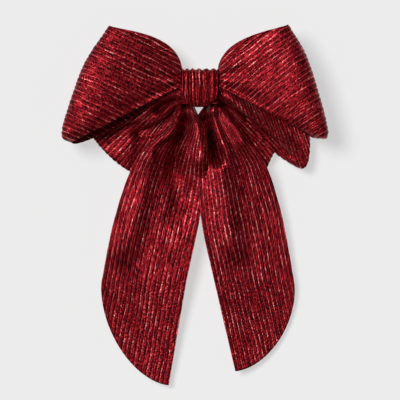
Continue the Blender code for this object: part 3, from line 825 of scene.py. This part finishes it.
class Tail:
    """One tail: its edges down to the shoulder, its tip, how far back it lies, its tilt and its folds.

    The tip is in shares of half the bow's width across and of the tails' drop down, and the rest in metres.
    """

    def __init__(self, outer, inner, tip, behind, tilt, folds, creases):
        self.outer, self.inner = np.array(outer), np.array(inner)
        self.tip = np.array(tip) * (HALF_WIDTH, TAIL_DROP)
        self.behind, self.tilt, self.folds, self.creases = behind, tilt, folds, creases


def tail_edge(top, neck, fall):
    """An edge's points in metres, from shares: behind the knot, beside the loops and below them."""
    first = [(top * 2 * KNOT_HALF, TAIL_TOP)]
    beside = [(x * HALF_WIDTH, z * RIBBON_WIDTH) for x, z in neck]
    return first + beside + [(x * HALF_WIDTH, z * TAIL_DROP) for x, z in fall]


LEFT_TAIL = Tail(
    outer=tail_edge(
        -0.56,
        ((-0.195, -0.2500), (-0.240, -0.3454), (-0.415, -0.5207), (-0.522, -0.7162)),
        ((-0.645, -0.447), (-0.738, SHOULDER)),
    ),
    inner=tail_edge(
        -0.26,
        ((-0.012, -0.2450), (0.046, -0.3632), (0.050, -0.5918), (0.044, -0.8178)),
        ((-0.010, -0.461), (-0.102, SHOULDER)),
    ),
    tip=(-0.236, -1.0),
    behind=0.0,
    tilt=0.0,
    folds=(0.0015, -0.0040, -0.0010, 0.0025, -0.0020, -0.0035, 0.0020),
    creases=(
        # outer ridge from the knot's corner
        Crease(width=0.0052, height=0.0055, lean=0.60, path=(
            (-0.0135, -0.0195), (-0.0150, -0.0263), (-0.0210, -0.0345), (-0.0300, -0.0390),
            (-0.0353, -0.0450), (-0.0375, -0.0548), (-0.0390, -0.0700),
        )),
        # hollow inside it
        Crease(width=0.0040, height=-0.0110, lean=0.0, path=(
            (-0.0120, -0.0248), (-0.0150, -0.0360), (-0.0180, -0.0473), (-0.0195, -0.0760),
        )),
        # middle ridge
        Crease(width=0.0050, height=0.0046, lean=0.40, path=(
            (-0.0030, -0.0285), (-0.0008, -0.0398), (0.0008, -0.0510), (-0.0015, -0.0680),
        )),
        # ridge along the inner edge
        Crease(width=0.0040, height=0.0030, lean=0.0, path=(
            (0.0040, -0.0300), (0.0050, -0.0420), (0.0048, -0.0520), (0.0040, -0.0700),
        )),
        # broad swell below the outer ridge
        Crease(width=0.0100, height=0.0050, lean=0.20, path=(
            (-0.0370, -0.0560), (-0.0450, -0.0840), (-0.0530, -0.1120), (-0.0600, -0.1400),
        )),
        # broad dip beside the swell
        Crease(width=0.0090, height=-0.0045, lean=0.0, path=(
            (-0.0160, -0.0640), (-0.0140, -0.0800), (-0.0150, -0.0920), (-0.0160, -0.1100),
        )),
    ),
)
RIGHT_TAIL = Tail(
    outer=tail_edge(
        0.56,
        ((0.210, -0.2400), (0.262, -0.3302), (0.405, -0.5207), (0.508, -0.6984)),
        ((0.620, -0.440), (0.706, SHOULDER)),
    ),
    inner=tail_edge(
        0.30,
        ((-0.015, -0.2450), (-0.005, -0.3632), (-0.015, -0.5918), (-0.012, -0.8178)),
        ((0.018, -0.470), (0.106, SHOULDER)),
    ),
    tip=(0.266, -0.953),
    behind=0.0022,
    tilt=0.0100,
    folds=(0.0005, -0.0015, -0.0010, -0.0030, -0.0030, 0.0055, 0.0030),
    creases=(
        # ridge from the knot
        Crease(width=0.0050, height=0.0060, lean=0.20, path=(
            (0.0105, -0.0158), (0.0083, -0.0233), (0.0105, -0.0323), (0.0158, -0.0420),
            (0.0210, -0.0510), (0.0250, -0.0680),
        )),
        # hollow beside the left tail
        Crease(width=0.0038, height=-0.0175, lean=0.0, path=(
            (0.0055, -0.0248), (0.0082, -0.0360), (0.0110, -0.0473), (0.0138, -0.0620),
        )),
        # outer ridge
        Crease(width=0.0040, height=0.0042, lean=0.40, path=(
            (0.0165, -0.0173), (0.0233, -0.0263), (0.0300, -0.0368), (0.0360, -0.0520),
        )),
        # broad swell below the ridges
        Crease(width=0.0095, height=0.0050, lean=0.20, path=(
            (0.0150, -0.0640), (0.0190, -0.0860), (0.0230, -0.1100), (0.0280, -0.1380),
        )),
    ),
)


EDGE_CROWDING = 0.35
DEPTHS_REACH = 1.5
BEHIND_SPEED = 5.0
TILT_AXIS = 0.6
TILT_RISE = (0.45, 0.85)
FOLDS_REACH = 0.85
FOLDS_GAIN = 3.0
TAIL_PLEATS = 3
PLEATS_REACH = 1 / 6
CREASES_RISE = 0.06


def side_share(across):
    """A share across a tail from outer to inner edge, with the grid's lines closer at both edges."""
    return mix(across, (1.0 - np.cos(math.pi * across)) / 2, EDGE_CROWDING)


def tail(name, shape, seed):
    """One tail: a strip from behind the knot to its shoulder, then a rounded slanting end to its tip."""
    shoulder_length = abs(SHOULDER) * TAIL_DROP
    fall = shape.tip - shape.inner[-1]
    fall_length = np.linalg.norm(fall)

    def place(along, across):
        side = side_share(across)
        drop = (1.0 - (1.0 - side) ** END_ROUNDNESS) ** (1.0 / END_ROUNDNESS)
        reach = along * (1.0 + fall_length * drop / shoulder_length)
        held = np.minimum(reach, 1.0)
        flat = mix(through(shape.outer, held), through(shape.inner, held), side[:, None])
        flat = flat + (fall / fall_length) * ((reach - held) * shoulder_length)[:, None]
        y = GATHER_CENTRE + through(TAIL_DEPTHS, reach / DEPTHS_REACH)
        y += shape.behind * np.minimum(1.0, BEHIND_SPEED * held)
        y += shape.tilt * (TILT_AXIS - side) * smooth_step(*TILT_RISE, held)
        ease = np.maximum(0.0, 1.0 - held / FOLDS_REACH)
        y += through(shape.folds, side) * FOLDS_GAIN * ease * ease * np.sqrt(held)
        pleats = np.cos(2 * math.pi * TAIL_PLEATS * side)
        y += GATHER_PLEAT * pleats * np.maximum(0.0, 1.0 - held / PLEATS_REACH)
        for fold in shape.creases:
            y -= fold.lift(flat[:, 0], flat[:, 1]) * smooth_step(0.0, CREASES_RISE, reach)
        return np.column_stack([flat[:, 0], y, flat[:, 1]])

    def ribs(along, across, points):
        width = np.linalg.norm(through(shape.outer, along) - through(shape.inner, along), axis=1)
        strength = np.minimum(1.0, width / TAIL_WIDTH) ** NECK_FADE
        return side_share(across) * TAIL_RIBS, along * TAIL_DROP, strength

    outside = 1.0 if shape.tip[0] > 0 else -1.0
    made = ribbed_sheet(name, TAIL_STEPS, TAIL_ACROSS, place, ribs, TAIL_WAVER, seed, outside)
    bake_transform(made)
    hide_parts(name.replace("_strip", ""))
    return made


tail("left_tail_strip", LEFT_TAIL, 53)
tail("right_tail_strip", RIGHT_TAIL, 67)


GATHER_OVERLAP = 0.0003
GATHER_LENGTH = 0.02
GATHER_STRENGTH = 0.2


def gather_place(along, across):
    """The pleated top ends of both tails, flat behind the knot."""
    low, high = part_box("tail_gather")
    y = GATHER_CENTRE + GATHER_PLEAT * np.cos(4 * math.pi * TAIL_PLEATS * across)
    return np.column_stack([mix(low.x, high.x, across), y, mix(high.z, TAIL_TOP + GATHER_OVERLAP, along)])


def gather_ribs(along, across, points):
    """Ribs of both tails, pressed together."""
    return across * TAIL_RIBS * 2, along * GATHER_LENGTH, np.full_like(along, GATHER_STRENGTH)


gather = ribbed_sheet("tail_tops", 40, 144, gather_place, gather_ribs, TAIL_WAVER, 71, 1.0)
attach(gather, "bow")
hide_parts("tail_gather")


# Knot band
# A short strip of the same cloth wrapped round both waists and sewn behind, drawn into six upright
# pleats at the front and pulled a little narrower at the bottom.
KNOT_LOW, KNOT_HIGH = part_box("knot_band")
KNOT_AROUND = 210
KNOT_ACROSS = 112
KNOT_PLEATS = 6
KNOT_PLEAT = 0.0009
TOP_PLEAT = 0.0006
PLEAT_DRIFT = 0.25
BOTTOM_RISE = 0.0050
BOTTOM_PINCH = 0.16
EDGE_ROUNDING = 0.10
BAND_SQUARENESS = 0.55
BAND_STEPS = 721
KNOT_SLACK_DEPTH = 0.0010
KNOT_SLACK_HEIGHT = 0.0006
KNOT_RIBS = 10
KNOT_LENGTH = 0.08
KNOT_STRENGTH = 0.5


def band_path(half_depth, half_height, share):
    """A rounded oblong seen from the side, at even shares of its length from the middle of its back."""
    angle = np.linspace(0.0, 2 * math.pi, BAND_STEPS)
    backward = half_depth * np.sign(np.cos(angle)) * np.abs(np.cos(angle)) ** BAND_SQUARENESS
    upward = half_height * np.sign(np.sin(angle)) * np.abs(np.sin(angle)) ** BAND_SQUARENESS
    length = np.concatenate([[0.0], np.cumsum(np.hypot(np.diff(backward), np.diff(upward)))])
    place = share * length[-1]
    return np.interp(place, length, backward), np.interp(place, length, upward)


def knot_place(along, across):
    """Points of the band: along runs round the waists from the back, across from left to right."""
    middle, centre = (KNOT_LOW.y + KNOT_HIGH.y) / 2, (KNOT_LOW.z + KNOT_HIGH.z) / 2
    half_depth = (KNOT_HIGH.y - KNOT_LOW.y) / 2 - KNOT_SLACK_DEPTH
    half_height = (KNOT_HIGH.z - KNOT_LOW.z) / 2 - KNOT_SLACK_HEIGHT
    backward, upward = band_path(half_depth, half_height, along)
    from_middle = 2.0 * across - 1.0
    front = np.maximum(0.0, -backward / half_depth)
    top, bottom = np.maximum(0.0, upward / half_height), np.maximum(0.0, -upward / half_height)
    pleat = np.cos(2 * math.pi * (KNOT_PLEATS * across + PLEAT_DRIFT * np.sin(5.0 * across)))
    y = middle + backward * (1.0 - EDGE_ROUNDING * from_middle**4) - KNOT_PLEAT * front**0.5 * pleat
    z = centre + upward + TOP_PLEAT * pleat * top**4
    z += BOTTOM_RISE * np.abs(from_middle) ** 3 * bottom**2
    x = from_middle * KNOT_HALF * (1.0 - BOTTOM_PINCH * bottom**2)
    return np.column_stack([x, y, z])


def knot_ribs(along, across, points):
    """Ribs that run round the band."""
    return across * KNOT_RIBS, along * KNOT_LENGTH, np.full_like(along, KNOT_STRENGTH)


knot = ribbed_sheet("knot_wrap", KNOT_AROUND, KNOT_ACROSS, knot_place, knot_ribs, RING_WAVER, 83, 1.0)
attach(knot, "bow")
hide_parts("knot_band")


# Studio
# A plain pale board behind the bow, one soft key light from the upper left, a weak light from behind for
# the clip, and a long lens straight in front.
BOARD = "ececec"
BOARD_GAP = 0.0006
BOARD_GLOW = 0.68
BOARD_HALF = 2.0
FRAME_WIDTH = 0.300
FRAME_CENTRE = (0.0, -0.08475)
CAMERA_AWAY = 6.0
KEY_STRENGTH = 3.18
KEY_SOFTNESS = math.radians(24)
KEY_FROM = (math.radians(-25), math.radians(16))
BACK_STRENGTH = 2.0
BACK_SOFTNESS = math.radians(60)
BACK_TURN = (math.radians(70), 0.0, math.radians(150))
FILL_STRENGTH = 0.14


def board_material():
    """Pale board: seen and reflected from its front only, so the views from behind look through it."""
    made, tree, shader = new_material("pale backdrop board")
    shader.inputs["Base Color"].default_value = linear(BOARD)
    shader.inputs["Roughness"].default_value = 1.0
    shader.inputs["Specular IOR Level"].default_value = 0.0
    path = node(tree, "ShaderNodeLightPath", {}).outputs
    rays = {0: path["Is Camera Ray"], 1: path["Is Glossy Ray"]}
    seen = node(tree, "ShaderNodeMath", rays, operation="MAXIMUM")
    behind = node(tree, "ShaderNodeNewGeometry", {}).outputs["Backfacing"]
    front = {0: seen.outputs[0], 1: behind}
    shown = node(tree, "ShaderNodeMath", front, operation="SUBTRACT", use_clamp=True)
    clear = node(tree, "ShaderNodeBsdfTransparent", {})
    glow = node(tree, "ShaderNodeEmission", {"Color": linear(BOARD)})
    pale = node(tree, "ShaderNodeMixShader", {0: BOARD_GLOW, 1: shader.outputs[0], 2: glow.outputs[0]})
    sort = node(tree, "ShaderNodeMixShader", {0: shown.outputs[0], 1: clear.outputs[0], 2: pale.outputs[0]})
    tree.links.new(sort.outputs[0], tree.nodes["Material Output"].inputs["Surface"])
    return made


shape = bmesh.new()
bmesh.ops.create_grid(shape, x_segments=1, y_segments=1, size=BOARD_HALF)
board_mesh = bpy.data.meshes.new("backdrop_board")
shape.to_mesh(board_mesh)
shape.free()
for vertex in board_mesh.vertices:
    vertex.co = (vertex.co.x, cad_box[1].y + BOARD_GAP, vertex.co.y)
board_mesh.materials.append(board_material())
board = bpy.data.objects.new("backdrop_board", board_mesh)
bpy.context.scene.collection.objects.link(board)


def sun(name, strength, softness, turn):
    """A far lamp whose shadows have soft edges."""
    lamp = bpy.data.lights.new(name, "SUN")
    lamp.energy = strength
    lamp.angle = softness
    made = bpy.data.objects.new(name, lamp)
    made.rotation_euler = turn
    bpy.context.scene.collection.objects.link(made)


sun("key", KEY_STRENGTH, KEY_SOFTNESS, (math.pi / 2 - KEY_FROM[1], 0.0, KEY_FROM[0]))
sun("behind", BACK_STRENGTH, BACK_SOFTNESS, BACK_TURN)

world = bpy.data.worlds.new("soft studio room")
bpy.context.scene.world = world
world.use_nodes = True
tree = world.node_tree
backdrop = tree.nodes["Background"]
backdrop.inputs["Color"].default_value = linear(BOARD)
path = node(tree, "ShaderNodeLightPath", {}).outputs
level = {"Value": path["Is Camera Ray"], "To Min": FILL_STRENGTH, "To Max": 1.0}
tree.links.new(node(tree, "ShaderNodeMapRange", level).outputs[0], backdrop.inputs["Strength"])

lens = bpy.data.cameras.new("long lens")
lens.sensor_width = 36.0
lens.lens = lens.sensor_width * CAMERA_AWAY / FRAME_WIDTH
lens.clip_end = 50.0
camera = bpy.data.objects.new("camera", lens)
camera.location = (FRAME_CENTRE[0], -CAMERA_AWAY, FRAME_CENTRE[1])
camera.rotation_euler = (math.pi / 2, 0.0, 0.0)
bpy.context.scene.collection.objects.link(camera)
bpy.context.scene.camera = camera
bpy.context.scene.view_settings.view_transform = "Standard"
